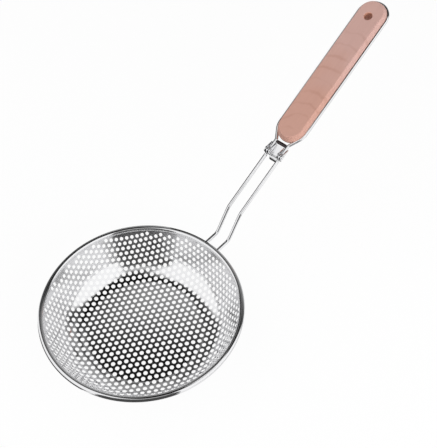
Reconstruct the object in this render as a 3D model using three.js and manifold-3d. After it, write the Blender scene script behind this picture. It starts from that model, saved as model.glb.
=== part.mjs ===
// A perforated steel skimmer: a flat-bottomed bowl with a bound rim, two bent shank wires,
// a folding hinge, and a wooden grip held in a loop of wire. Millimetres, +Z up.
// The origin lies on the bowl's axis, on the underside of the flat base. The handle runs along +X.

import * as THREE from 'three';
import { mergeGeometries, mergeVertices } from 'three/addons/utils/BufferGeometryUtils.js';
import Module from 'manifold-3d';

const wasm = await Module();
wasm.setup();

// Bowl
const bowlDiameter = 160; // over the rim
const rimHeight = 35; // centre of the rim bead above the base
const sheetThickness = 0.6;
const cornerRadius = 24; // outside, between the base and the wall
const wallSlope = 63; // degrees between the base and the wall, which leans outwards
const holeDiameter = 3.6;
const holePitch = 5.22;
const holeRowAngle = 24.5; // degrees between the rows of holes and the handle
const plainEdge = 2.6; // of the wall below the rim bead, left without holes

// Rim
const rimBeadDiameter = 4.6;
const rimStripThickness = 0.5;

// Shank wires
const shankWireDiameter = 3;
const shankSpacing = 12.6; // between the two wires' centres
const shankReach = 15.2; // from the rim's edge to the first bend
const shankRun = 15; // the riser's length along X
const shankRise = 21.3; // the riser's height
const shankBendRadius = 6; // of the wire's centre line
const handleSlope = 28.8; // degrees above the horizontal, after the second bend

// Hinge, with distances along the handle from the second bend
const pivotDistance = 57.6;
const pivotLift = 1.5; // of the pins above the wires' centre lines
const rivetDiameter = 2;
const rivetHeadDiameter = 3.6;
const rivetHeadThickness = 0.5;
const eyeEdge = 1.1; // metal around a shank wire's eye
const eyeThickness = 2; // of the flattened wire
const eyeTongue = 5; // how far the flattening runs back into the round wire
const bracketThickness = 0.7;
const earEdge = 1.3; // metal around the bracket's rivet holes
const tailWallHeight = 0.2; // the trough walls above the wires' centre lines, at the grip's end
const lipWidth = 7;
const lipReach = 2.4;
const lipDrop = 4.2;

// Grip, with distances along the handle from the second bend
const spreaderDistance = 67.7;
const spreaderDiameter = 3;
const gripWireDiameter = 2.8;
const gripWireEndGap = 1; // between a shank wire's eye and the grip wire's end
const neckBendRadius = 4;
const neckAngle = 30; // degrees that the grip wire spreads at the neck
const woodStart = 71.1;
const woodLength = 141.6;
const woodWidth = 26.4;
const woodThickness = 13;
const woodEdgeWidth = 3; // of the rounded edge, across the grip
const woodEdgeDepth = 4.4; // of the same edge, through the grip
const wireInset = 0.1; // the grip wire's centre line inside the wood's outline
const hangingHoleDiameter = 7;
const hangingHoleInset = 17; // from the wood's end to the hole's centre

// Clearance between pieces that touch on the real object
const fit = 0.3;

// Fineness of round shapes
const bowlSegments = 60;
const cornerSteps = 6;
const holeSides = 4;
const wallOpeningsAround = 30; // larger openings that stand in for the wall's many small holes
const wallOpeningRows = 3;
const beadSteps = 9;
const coreSides = 8;
const wireSides = 10;
const bendSteps = 4;
const loopEndSteps = 12;
const pinSides = 16;
const woodEndSegments = 12;
const woodEdgeSegments = 3;
const troughSteps = 6;

// Values worked out from the driving dimensions
const radians = THREE.MathUtils.degToRad;
const beadRadius = rimBeadDiameter / 2;
const beadCentreRadius = bowlDiameter / 2 - beadRadius;
const stripBore = beadRadius - rimStripThickness;
const coreRadius = stripBore - fit;
const beadCentre = new THREE.Vector2(beadCentreRadius, rimHeight);
const halfSheet = sheetThickness / 2;
const lean = radians(wallSlope);
const upWall = new THREE.Vector2(Math.cos(lean), Math.sin(lean));
const outOfWall = new THREE.Vector2(upWall.y, -upWall.x);
const cornerMiddle = cornerRadius - halfSheet;
const wallRun = (rimHeight - halfSheet) / Math.tan(lean);
const flatRadius = beadCentreRadius - wallRun - cornerMiddle * Math.tan(lean / 2);
const cornerLength = cornerMiddle * lean;
const wallLength = (rimHeight - cornerRadius + cornerMiddle * Math.cos(lean)) / Math.sin(lean);
const shankRadius = shankWireDiameter / 2;
const gripWireRadius = gripWireDiameter / 2;
const sideOffset = shankSpacing / 2;
const shankLevel = rimHeight - beadRadius - fit - shankRadius;
const firstBend = new THREE.Vector2(bowlDiameter / 2 + shankReach, shankLevel);
const secondBend = new THREE.Vector2(firstBend.x + shankRun, firstBend.y + shankRise);
const rivetRadius = rivetDiameter / 2;
const rivetHoleRadius = rivetRadius + fit;
const eyeRadius = rivetHoleRadius + eyeEdge;
const earRadius = rivetHoleRadius + earEdge;
const troughInner = shankRadius + fit;
const troughOuter = troughInner + bracketThickness;
const spreaderRadius = spreaderDiameter / 2;
const bracketStart = pivotDistance - earRadius;
const bracketEnd = spreaderDistance - spreaderRadius - fit;
const gripWireStart = pivotDistance + eyeRadius + gripWireEndGap;
const woodHalfWidth = woodWidth / 2;
const woodEnd = woodStart + woodLength;
const loopRadius = woodHalfWidth - wireInset;

// The handle's own frame: x along the wires after the second bend, y as in the part, z square to both
const handlePosition = new THREE.Vector3(secondBend.x, 0, secondBend.y);
const handleRotation = new THREE.Euler(0, -radians(handleSlope), 0);
const handleMatrix = new THREE.Matrix4().makeRotationFromEuler(handleRotation);
handleMatrix.setPosition(handlePosition);

// Turned copies of drawing planes: a shape's x, y and depth become the axes named here
const drawnAcross = new THREE.Matrix4().makeBasis(
  new THREE.Vector3(0, 1, 0),
  new THREE.Vector3(0, 0, 1),
  new THREE.Vector3(1, 0, 0),
);
const drawnFromSide = new THREE.Matrix4().makeBasis(
  new THREE.Vector3(1, 0, 0),
  new THREE.Vector3(0, 0, 1),
  new THREE.Vector3(0, -1, 0),
);

// Finishes
const steel = () => new THREE.MeshStandardMaterial({ color: 0xc9cacb, roughness: 0.16, metalness: 1 });
const darkSteel = () => new THREE.MeshStandardMaterial({ color: 0x4a4547, roughness: 0.35, metalness: 1 });
const beech = () => new THREE.MeshStandardMaterial({ color: 0xc59e91, roughness: 0.55, metalness: 0 });

// A geometry as a solid that can be joined and cut
function toSolid(geometry) {
  const bare = geometry.index ? geometry.toNonIndexed() : geometry.clone();
  bare.deleteAttribute('normal');
  bare.deleteAttribute('uv');
  const merged = mergeVertices(bare);
  const corners = merged.index.array;
  const kept = [];
  for (let i = 0; i < corners.length; i += 3) {
    const [a, b, c] = [corners[i], corners[i + 1], corners[i + 2]];
    if (a !== b && b !== c && c !== a) {
      kept.push(a, b, c);
    }
  }
  const vertProperties = new Float32Array(merged.attributes.position.array);
  const triVerts = new Uint32Array(kept);
  return new wasm.Manifold(new wasm.Mesh({ numProp: 3, vertProperties, triVerts }));
}

// A joined or cut solid back as a geometry
function toGeometry(solid) {
  const mesh = solid.getMesh();
  const geometry = new THREE.BufferGeometry();
  geometry.setAttribute('position', new THREE.BufferAttribute(mesh.vertProperties, 3));
  geometry.setIndex(new THREE.BufferAttribute(mesh.triVerts, 1));
  geometry.computeVertexNormals();
  return geometry;
}

// Points on a circular arc, with angles in radians and both ends included
function arcPoints(centre, radius, from, to, steps) {
  return Array.from({ length: steps + 1 }, (_, i) => {
    const angle = from + ((to - from) * i) / steps;
    return new THREE.Vector2(centre.x + radius * Math.cos(angle), centre.y + radius * Math.sin(angle));
  });
}

// A line through corner points with each inner corner rounded to one radius
function roundedLine(corners, radius) {
  const line = [corners[0]];
  for (let i = 1; i < corners.length - 1; i += 1) {
    const into = corners[i].clone().sub(corners[i - 1]).normalize();
    const out = corners[i + 1].clone().sub(corners[i]).normalize();
    const turn = Math.asin(into.cross(out));
    const setback = radius * Math.tan(Math.abs(turn) / 2);
    const side = Math.sign(turn);
    const toCentre = new THREE.Vector2(-into.y, into.x).multiplyScalar(side * radius);
    const centre = corners[i].clone().addScaledVector(into, -setback).add(toCentre);
    const start = Math.atan2(-toCentre.y, -toCentre.x);
    line.push(...arcPoints(centre, radius, start, start + turn, bendSteps));
  }
  line.push(corners[corners.length - 1]);
  return line;
}

// A path with its sections exactly at the given points
class StationPath extends THREE.Curve {
  constructor(stations) {
    super();
    this.stations = stations;
  }

  index(share) {
    return Math.round(share * (this.stations.length - 1));
  }

  getPoint(share, target = new THREE.Vector3()) {
    return target.copy(this.stations[this.index(share)]);
  }

  getPointAt(share, target) {
    return this.getPoint(share, target);
  }

  getTangentAt(share, target = new THREE.Vector3()) {
    const at = this.index(share);
    const here = this.stations[at];
    const before = this.stations[at - 1];
    const after = this.stations[at + 1];
    target.set(0, 0, 0);
    if (before) {
      target.add(here.clone().sub(before).normalize());
    }
    if (after) {
      target.add(after.clone().sub(here).normalize());
    }
    return target.normalize();
  }
}

// A round wire of one radius along a list of points
function wireAlong(stations, radius) {
  const ring = arcPoints(new THREE.Vector2(), radius, 0, Math.PI * 2, wireSides);
  const section = new THREE.Shape(ring.slice(0, -1));
  const extrudePath = new StationPath(stations);
  return new THREE.ExtrudeGeometry(section, { steps: stations.length - 1, extrudePath });
}

// A closed profile of radius and height turned about the Z axis
function turned(profile) {
  return new THREE.LatheGeometry(profile, bowlSegments).rotateX(Math.PI / 2);
}

// A pin along Y with its middle at a place in the handle's frame
function pinAcross(radius, length, x, y, z) {
  return new THREE.CylinderGeometry(radius, radius, length, pinSides).translate(x, y, z);
}

// Centres of the holes that lie wholly on the flat base, with the axis midway between two of them
function holeCentres() {
  const along = new THREE.Vector2(holePitch, 0).rotateAround(new THREE.Vector2(), radians(holeRowAngle));
  const beside = along.clone().rotateAround(new THREE.Vector2(), Math.PI / 3);
  const start = along.clone().divideScalar(2);
  const reach = flatRadius - holeDiameter / 2;
  const rows = Math.ceil((2 * reach) / holePitch);
  const centres = [];
  for (let i = -rows; i <= rows; i += 1) {
    for (let j = -rows; j <= rows; j += 1) {
      const centre = start.clone().addScaledVector(along, i).addScaledVector(beside, j);
      if (centre.length() < reach) {
        centres.push(centre);
      }
    }
  }
  return centres;
}

// Punches for the flat base: square ones with the area of the round holes
function basePunches() {
  const holeTurn = (2 * Math.PI) / holeSides;
  const sameArea = Math.sqrt(holeTurn / Math.sin(holeTurn));
  const punchRadius = (holeDiameter / 2) * sameArea;
  const punchLength = sheetThickness * 3;
  return holeCentres().map((centre) => {
    const punch = new THREE.CylinderGeometry(punchRadius, punchRadius, punchLength, holeSides);
    return punch.rotateX(Math.PI / 2).translate(centre.x, centre.y, halfSheet);
  });
}

// Punches for the corner and the wall: staggered rows with the same open share as the base
function wallPunches() {
  const openShare = (Math.PI * holeDiameter ** 2) / (2 * Math.sqrt(3) * holePitch ** 2);
  const openSide = Math.sqrt(openShare);
  const rowPitch = (cornerLength + wallLength - beadRadius - plainEdge) / wallOpeningRows;
  const turn = (2 * Math.PI) / wallOpeningsAround;
  const punches = [];
  for (let row = 0; row < wallOpeningRows; row += 1) {
    const run = (row + 0.5) * rowPitch;
    const tilt = Math.min(run / cornerMiddle, lean);
    const straight = Math.max(run - cornerLength, 0);
    const radius = flatRadius + cornerMiddle * Math.sin(tilt) + straight * upWall.x;
    const height = cornerRadius - cornerMiddle * Math.cos(tilt) + straight * upWall.y;
    for (let i = 0; i < wallOpeningsAround; i += 1) {
      const punch = new THREE.BoxGeometry(rowPitch / 2, openSide * turn * radius, openSide * rowPitch);
      punch.rotateY(Math.PI / 2 - tilt).translate(radius, 0, height);
      punches.push(punch.rotateZ((i + (row % 2) / 2) * turn));
    }
  }
  return punches;
}

// The bowl: a turned sheet, punched through
function bowlSheet() {
  const cornerCentre = new THREE.Vector2(flatRadius, cornerRadius);
  const down = -Math.PI / 2;
  const outside = arcPoints(cornerCentre, cornerRadius, down, down + lean, cornerSteps);
  const inside = arcPoints(cornerCentre, cornerRadius - sheetThickness, down + lean, down, cornerSteps);
  const edge = beadCentre.clone().addScaledVector(upWall, -coreRadius - fit);
  const profile = [
    new THREE.Vector2(0, 0),
    ...outside,
    edge.clone().addScaledVector(outOfWall, halfSheet),
    edge.clone().addScaledVector(outOfWall, -halfSheet),
    ...inside,
    new THREE.Vector2(0, sheetThickness),
  ];
  const sheet = toSolid(turned(profile)).subtract(toSolid(mergeGeometries(basePunches())));
  return toGeometry(sheet.subtract(toSolid(mergeGeometries(wallPunches()))).asOriginal().simplify());
}

// The rim strip: a tube rolled round the core wire, slit towards the wall for the sheet's edge
function rimBinding() {
  const slit = halfSheet + fit;
  const outerGap = Math.asin(slit / beadRadius);
  const innerGap = Math.asin(slit / stripBore);
  const from = lean - Math.PI;
  const to = lean + Math.PI;
  const outside = arcPoints(beadCentre, beadRadius, from + outerGap, to - outerGap, beadSteps);
  const inside = arcPoints(beadCentre, stripBore, to - innerGap, from + innerGap, beadSteps);
  return turned([...outside, ...inside, outside[0]]);
}

// The wire inside the rim strip
function rimCoreWire() {
  return turned(arcPoints(beadCentre, coreRadius, 0, Math.PI * 2, coreSides));
}

// A shank wire: from the bowl's wall under the rim, up the riser, to an eye on the hinge pin
function shankWire(side) {
  const nearEdge = sideOffset - shankRadius;
  const belowBead = rimHeight - shankLevel - shankRadius;
  const wallThere = beadCentreRadius - belowBead / Math.tan(lean) + halfSheet / Math.sin(lean);
  const startX = Math.sqrt((wallThere + fit) ** 2 - nearEdge ** 2);
  const roundEnd = pivotDistance - eyeTongue / 2;
  const slope = radians(handleSlope);
  const upHandle = new THREE.Vector2(Math.cos(slope), Math.sin(slope));
  const end = secondBend.clone().addScaledVector(upHandle, roundEnd);
  const corners = [new THREE.Vector2(startX, shankLevel), firstBend, secondBend, end];
  const y = side * sideOffset;
  const stations = roundedLine(corners, shankBendRadius).map((p) => new THREE.Vector3(p.x, y, p.y));
  const eyeBottom = pivotLift - eyeRadius;
  const tongue = new THREE.BoxGeometry(eyeTongue, eyeThickness, shankRadius - eyeBottom - fit);
  tongue.translate(pivotDistance - eyeTongue / 2, y, (shankRadius + eyeBottom - fit) / 2);
  const eye = pinAcross(eyeRadius, eyeThickness, pivotDistance, y, pivotLift);
  const hole = pinAcross(rivetHoleRadius, shankWireDiameter * 2, pivotDistance, y, pivotLift);
  for (const geometry of [tongue, eye, hole]) {
    geometry.applyMatrix4(handleMatrix);
  }
  const wire = toSolid(wireAlong(stations, shankRadius));
  return toGeometry(wire.add(toSolid(tongue)).add(toSolid(eye)).subtract(toSolid(hole)));
}

// The bracket's section across the handle: two round-bottomed troughs on one web
function bracketSection() {
  const top = pivotLift + earRadius + fit;
  const points = [];
  for (const side of [1, -1]) {
    const centre = new THREE.Vector2(side * sideOffset, 0);
    const from = side > 0 ? 0 : -Math.PI / 2;
    const outer = arcPoints(centre, troughOuter, from, from - Math.PI / 2, troughSteps / 2);
    const rim = new THREE.Vector2(centre.x + side * troughOuter, top);
    points.push(...(side > 0 ? [rim, ...outer] : [...outer, rim]));
  }
  for (const side of [-1, 1]) {
    const centre = new THREE.Vector2(side * sideOffset, 0);
    const inner = arcPoints(centre, troughInner, -Math.PI, 0, troughSteps);
    const innerFace = centre.x - side * troughOuter;
    const trough = [
      new THREE.Vector2(centre.x - troughInner, top),
      ...inner,
      new THREE.Vector2(centre.x + troughInner, top),
    ];
    const innerWall = [new THREE.Vector2(innerFace, top), new THREE.Vector2(innerFace, -troughInner)];
    points.push(...(side < 0 ? [...trough, ...innerWall] : [...innerWall.reverse(), ...trough]));
  }
  return new THREE.Shape(points);
}

// The bracket: the troughs cut to an ear round each pin, with a lip bent down at the bowl's end
function hingeBracket() {
  const length = bracketEnd - bracketStart;
  const troughs = new THREE.ExtrudeGeometry(bracketSection(), { depth: length, bevelEnabled: false });
  troughs.applyMatrix4(drawnAcross).translate(bracketStart, 0, 0);

  const below = -troughOuter - fit;
  const pivot = new THREE.Vector2(pivotDistance, pivotLift);
  const ear = arcPoints(pivot, earRadius, Math.PI, Math.PI / 4, pinSides / 2);
  const outline = new THREE.Shape([
    new THREE.Vector2(bracketStart, below),
    ...ear,
    new THREE.Vector2(bracketEnd, tailWallHeight),
    new THREE.Vector2(bracketEnd, below),
  ]);
  const bracketWidth = 2 * (sideOffset + troughOuter + fit);
  const side = new THREE.ExtrudeGeometry(outline, { depth: bracketWidth, bevelEnabled: false });
  side.applyMatrix4(drawnFromSide).translate(0, bracketWidth / 2, 0);

  const lipTop = bracketStart - lipReach;
  const lipOutline = new THREE.Shape([
    new THREE.Vector2(bracketStart + bracketThickness, -troughInner),
    new THREE.Vector2(bracketStart - bracketThickness, -troughInner),
    new THREE.Vector2(lipTop, -troughInner - lipReach),
    new THREE.Vector2(lipTop, -troughInner - lipDrop),
    new THREE.Vector2(lipTop + bracketThickness, -troughInner - lipDrop),
    new THREE.Vector2(lipTop + bracketThickness, -troughOuter - lipReach + bracketThickness / 2),
    new THREE.Vector2(bracketStart - bracketThickness / 2, -troughOuter),
    new THREE.Vector2(bracketStart + bracketThickness, -troughOuter),
  ]);
  const lip = new THREE.ExtrudeGeometry(lipOutline, { depth: lipWidth, bevelEnabled: false });
  lip.applyMatrix4(drawnFromSide).translate(0, lipWidth / 2, 0);

  const holes = pinAcross(rivetHoleRadius, bracketWidth, pivotDistance, 0, pivotLift);
  return toGeometry(toSolid(troughs).intersect(toSolid(side)).subtract(toSolid(holes)).add(toSolid(lip)));
}

// A rivet: a pin through both walls of one trough, with a head outside each wall
function hingeRivet(side) {
  const halfGrip = troughOuter + fit;
  const halfLength = halfGrip + rivetHeadThickness;
  const headRadius = rivetHeadDiameter / 2;
  const profile = [
    new THREE.Vector2(0, -halfLength),
    new THREE.Vector2(headRadius, -halfLength),
    new THREE.Vector2(headRadius, -halfGrip),
    new THREE.Vector2(rivetRadius, -halfGrip),
    new THREE.Vector2(rivetRadius, halfGrip),
    new THREE.Vector2(headRadius, halfGrip),
    new THREE.Vector2(headRadius, halfLength),
    new THREE.Vector2(0, halfLength),
  ];
  return new THREE.LatheGeometry(profile, pinSides).translate(pivotDistance, side * sideOffset, pivotLift);
}

// The bar that keeps the grip wire's two ends apart
function spreaderBar() {
  const length = shankSpacing - gripWireDiameter - 2 * fit;
  return pinAcross(spreaderRadius, length, spreaderDistance, 0, 0);
}

// Points along the grip wire: up one side of the wood, round its end and back down the other side
function gripWireStations() {
  const neck = radians(neckAngle);
  const nearCentre = new THREE.Vector2(woodStart + woodHalfWidth, 0);
  const farCentre = new THREE.Vector2(woodEnd - woodHalfWidth, 0);
  const leave = Math.PI / 2 + neck;
  const nearArc = arcPoints(nearCentre, loopRadius, leave, Math.PI / 2, bendSteps);
  const neckLength = (nearArc[0].y - sideOffset) / Math.tan(neck);
  const neckCorner = new THREE.Vector2(nearArc[0].x - neckLength, sideOffset);
  const wireStart = new THREE.Vector2(gripWireStart, sideOffset);
  const neckLine = roundedLine([wireStart, neckCorner, nearArc[0]], neckBendRadius);
  const farArc = arcPoints(farCentre, loopRadius, Math.PI / 2, 0, loopEndSteps / 2);
  const half = [...neckLine.slice(0, -1), ...nearArc, ...farArc];
  const mirrored = half.slice(0, -1).reverse().map((p) => new THREE.Vector2(p.x, -p.y));
  return [...half, ...mirrored].map((p) => new THREE.Vector3(p.x, p.y, 0));
}

// The wooden grip: a flat bar with round ends and edges, grooved for the wire, with a hanging hole
function woodGrip() {
  const outline = new THREE.Shape();
  outline.absarc(woodEnd - woodHalfWidth, 0, woodHalfWidth, -Math.PI / 2, Math.PI / 2);
  outline.absarc(woodStart + woodHalfWidth, 0, woodHalfWidth, Math.PI / 2, (Math.PI * 3) / 2);
  const blank = new THREE.ExtrudeGeometry(outline, {
    depth: woodThickness - 2 * woodEdgeDepth,
    curveSegments: woodEndSegments,
    bevelThickness: woodEdgeDepth,
    bevelSize: woodEdgeWidth,
    bevelOffset: -woodEdgeWidth,
    bevelSegments: woodEdgeSegments,
  });
  blank.translate(0, 0, woodEdgeDepth - woodThickness / 2);
  const groove = wireAlong(gripWireStations(), gripWireRadius + fit);
  const holeX = woodEnd - hangingHoleInset;
  const holeRadius = hangingHoleDiameter / 2;
  const hole = new THREE.CylinderGeometry(holeRadius, holeRadius, woodThickness * 2, pinSides);
  hole.rotateX(Math.PI / 2).translate(holeX, 0, 0);
  return toGeometry(toSolid(blank).subtract(toSolid(groove)).subtract(toSolid(hole)));
}

function piece(name, geometry, material) {
  const mesh = new THREE.Mesh(geometry, material);
  mesh.name = name;
  return mesh;
}

// The bowl with its rim and shank wires stands in the part's frame
const skimmer = new THREE.Group();
skimmer.name = 'skimmer';
skimmer.add(
  piece('bowl_sheet', bowlSheet(), steel()),
  piece('rim_binding', rimBinding(), steel()),
  piece('rim_core_wire', rimCoreWire(), steel()),
  piece('shank_wire_left', shankWire(1), steel()),
  piece('shank_wire_right', shankWire(-1), steel()),
);

// The hinge and grip lie in the handle's frame
const handle = new THREE.Group();
handle.position.copy(handlePosition);
handle.rotation.copy(handleRotation);
handle.add(
  piece('hinge_bracket', hingeBracket(), steel()),
  piece('hinge_rivet_left', hingeRivet(1), steel()),
  piece('hinge_rivet_right', hingeRivet(-1), steel()),
  piece('spreader_bar', spreaderBar(), darkSteel()),
  piece('grip_wire', wireAlong(gripWireStations(), gripWireRadius), steel()),
  piece('wood_grip', woodGrip(), beech()),
);
skimmer.add(handle);

export default skimmer;
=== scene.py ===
import math

import bmesh
import bpy
from mathutils import Matrix, Vector


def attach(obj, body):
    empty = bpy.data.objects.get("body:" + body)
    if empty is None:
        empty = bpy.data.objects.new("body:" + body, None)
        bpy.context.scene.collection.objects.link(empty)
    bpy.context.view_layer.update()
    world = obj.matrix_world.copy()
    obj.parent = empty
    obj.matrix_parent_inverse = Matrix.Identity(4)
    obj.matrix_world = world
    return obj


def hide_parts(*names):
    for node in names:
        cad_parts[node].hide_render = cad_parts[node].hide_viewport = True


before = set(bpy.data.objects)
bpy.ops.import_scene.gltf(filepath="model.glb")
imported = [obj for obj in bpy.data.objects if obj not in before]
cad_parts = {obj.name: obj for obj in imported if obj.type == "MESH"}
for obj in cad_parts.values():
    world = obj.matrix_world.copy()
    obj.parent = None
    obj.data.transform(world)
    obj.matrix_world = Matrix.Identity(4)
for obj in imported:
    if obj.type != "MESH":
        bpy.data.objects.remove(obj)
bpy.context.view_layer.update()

# Sizes of the part, in millimetres
MM = 0.001

# Bowl: the drawn sheet, and the holes punched in its flat blank
BOWL_RADIUS = 80.0
RIM_HEIGHT = 35.0
SHEET = 0.4
CORNER = 24.0
LEAN = math.radians(63)
HOLE_RADIUS = 1.7
HOLE_PITCH = 5.223
HOLE_ROW_TURN = math.radians(24.69)
FIRST_HOLE = Vector((-2.6, -1.27))
PLAIN_EDGE = 1.2
FIELD_OFFSET = Vector((0.5, 0.63))
BLANK_STRETCH = 1.024

# Rolled rim, and the play between neighbouring pieces
BEAD_RADIUS = 2.3
STRIP = 0.5
FIT = 0.3

# Shank wires, each flattened to an eye at the hinge
WIRE_RADIUS = 1.5
WIRE_SIDE = 6.3
SHANK_REACH = 15.2
SHANK_RUN = 15.0
SHANK_RISE = 21.3
SHANK_BEND = 6.0
SLOPE = math.radians(28.8)
EYE_RADIUS = 2.4
EYE_THICK = 2.0
EYE_TONGUE = 5.0
EYE_RISE_START = 4.4
EYE_RISE_STOP = 1.0
EYE_SQUARENESS = 0.45
EYE_TIP = 0.02
EYE_ROOM = 1.0

# Hinge; places along the handle are measured from the shank's second bend
PIVOT = 57.6
PIVOT_LIFT = 1.5
RIVET_RADIUS = 1.0
RIVET_HEAD = 1.8
RIVET_HEAD_THICK = 0.35
RIVET_TIP = 0.05
RIVET_PLAY = 0.06
BRACKET = 0.7
BRACKET_EASE = 0.3
EAR_RADIUS = 2.6
EAR_TURN = math.pi * 0.75
TAIL_WALL = 0.2
LIP_WIDTH = 7.0
LIP_ROOT = 2.0
LIP_REACH = 2.4
LIP_DROP = 4.2
LIP_BEND = 0.9
LIP_CORNER = 0.5

# Grip: the spreader bar, the wire loop and the wood with its groove
SPREADER = 67.7
SPREADER_RADIUS = 1.5
SPREADER_EASE = 0.3
GRIP_WIRE = 1.4
NECK_BEND = 4.0
NECK_ANGLE = math.radians(30)
WOOD_START = 71.1
WOOD_LENGTH = 141.6
WOOD_HALF = 13.2
WOOD_THICK = 13.0
WOOD_EDGE_WIDTH = 2.4
WOOD_EDGE_ROUND = 0.8
WOOD_EDGE_DEPTH = 4.4
WOOD_MOUTH = 0.45
WIRE_INSET = 0.1
GROOVE_PLAY = 0.18
HOLE_INSET = 17.0
HANG_RADIUS = 3.5
HANG_EASE = 0.4

# Turns in radians: how far ahead of the wire the groove begins, and over which it deepens
GROOVE_LEAD = 0.22
GROOVE_FADE = 0.2

# Places that follow from those sizes
HALF_SHEET = SHEET / 2
CORNER_MIDDLE = CORNER - HALF_SHEET
BEAD_CENTRE = BOWL_RADIUS - BEAD_RADIUS
FLAT = BEAD_CENTRE - (RIM_HEIGHT - HALF_SHEET) / math.tan(LEAN) - CORNER_MIDDLE * math.tan(LEAN / 2)
CORNER_RUN = CORNER_MIDDLE * LEAN
WALL_RUN = (RIM_HEIGHT - CORNER + CORNER_MIDDLE * math.cos(LEAN)) / math.sin(LEAN)
STRIP_BORE = BEAD_RADIUS - STRIP
EDGE_RUN = FLAT + CORNER_RUN + WALL_RUN - STRIP_BORE
BLANK_RADIUS = FLAT + (EDGE_RUN - FLAT) / BLANK_STRETCH
SHANK_LEVEL = RIM_HEIGHT - BEAD_RADIUS - FIT - WIRE_RADIUS
FIRST_BEND = Vector((BOWL_RADIUS + SHANK_REACH, SHANK_LEVEL))
SECOND_BEND = FIRST_BEND + Vector((SHANK_RUN, SHANK_RISE))
ALONG = Vector((math.cos(SLOPE), 0, math.sin(SLOPE)))
NORMAL = Vector((-math.sin(SLOPE), 0, math.cos(SLOPE)))
ACROSS = Vector((0, 1, 0))
HANDLE_START = Vector((SECOND_BEND.x, 0, SECOND_BEND.y))
TROUGH_INNER = WIRE_RADIUS + FIT
TROUGH_OUTER = TROUGH_INNER + BRACKET
BRACKET_START = PIVOT - EAR_RADIUS
BRACKET_END = SPREADER - SPREADER_RADIUS - FIT
GRIP_WIRE_START = PIVOT + EYE_RADIUS + EYE_ROOM
WOOD_END = WOOD_START + WOOD_LENGTH
LOOP_RADIUS = WOOD_HALF - WIRE_INSET

# Colours
STEEL = (0.80, 0.80, 0.81)
SHEET_STEEL = (0.78, 0.78, 0.79)
# Painted dark reflection: the spreader bar's steel is coloured nearly black to stand for the dark
# surroundings it mirrors
BAR_PAINTED_DARK = (0.07, 0.06, 0.062)
WOOD_NEAR = (0.556, 0.308, 0.244)
WOOD_FAR = (0.572, 0.352, 0.308)
GROWTH_SHADE = (0.915, 0.88, 0.86)
FIBRE_SHADE = (0.96, 0.955, 0.95)
# Painted shade for the inside of the hanging hole
PAINTED_HOLE_SHADE = (1, 0.82, 0.66)
UNSHADED = (1, 1, 1)
FLOOR_WHITE = (0.95, 0.95, 0.95)

# Wood grain, in metres and shares along the grip, across it and square to it
TONE_SWAY = 0.09
GROWTH_SWAY = (0.012, 0.006, 0.006)
GROWTH_SHIFT = (-0.055, 0.004, 0)
GROWTH_STRETCH = (1, 1.9, 0.6)
FIBRE_SCALE = (40, 900, 900)


# Materials
def new_material(name):
    material = bpy.data.materials.new(name)
    material.use_nodes = True
    nodes = material.node_tree.nodes
    return material, nodes, material.node_tree.links, nodes["Principled BSDF"]


def metal(name, colour, roughness):
    material, _, _, shader = new_material(name)
    shader.inputs["Base Color"].default_value = (*colour, 1)
    shader.inputs["Metallic"].default_value = 1
    shader.inputs["Roughness"].default_value = roughness
    return material


def ramp(nodes, low, high):
    """A colour ramp between two pairs of position and colour."""
    node = nodes.new("ShaderNodeValToRGB")
    for element, (position, colour) in zip(node.color_ramp.elements, (low, high)):
        element.position = position
        element.color = (*colour, 1)
    return node


def multiplied(nodes, links, first, second):
    """The product of two colours."""
    mix = nodes.new("ShaderNodeMix")
    mix.data_type = "RGBA"
    mix.blend_type = "MULTIPLY"
    mix.inputs["Factor"].default_value = 1
    links.new(first, mix.inputs["A"])
    links.new(second, mix.inputs["B"])
    return mix.outputs["Result"]


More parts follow.
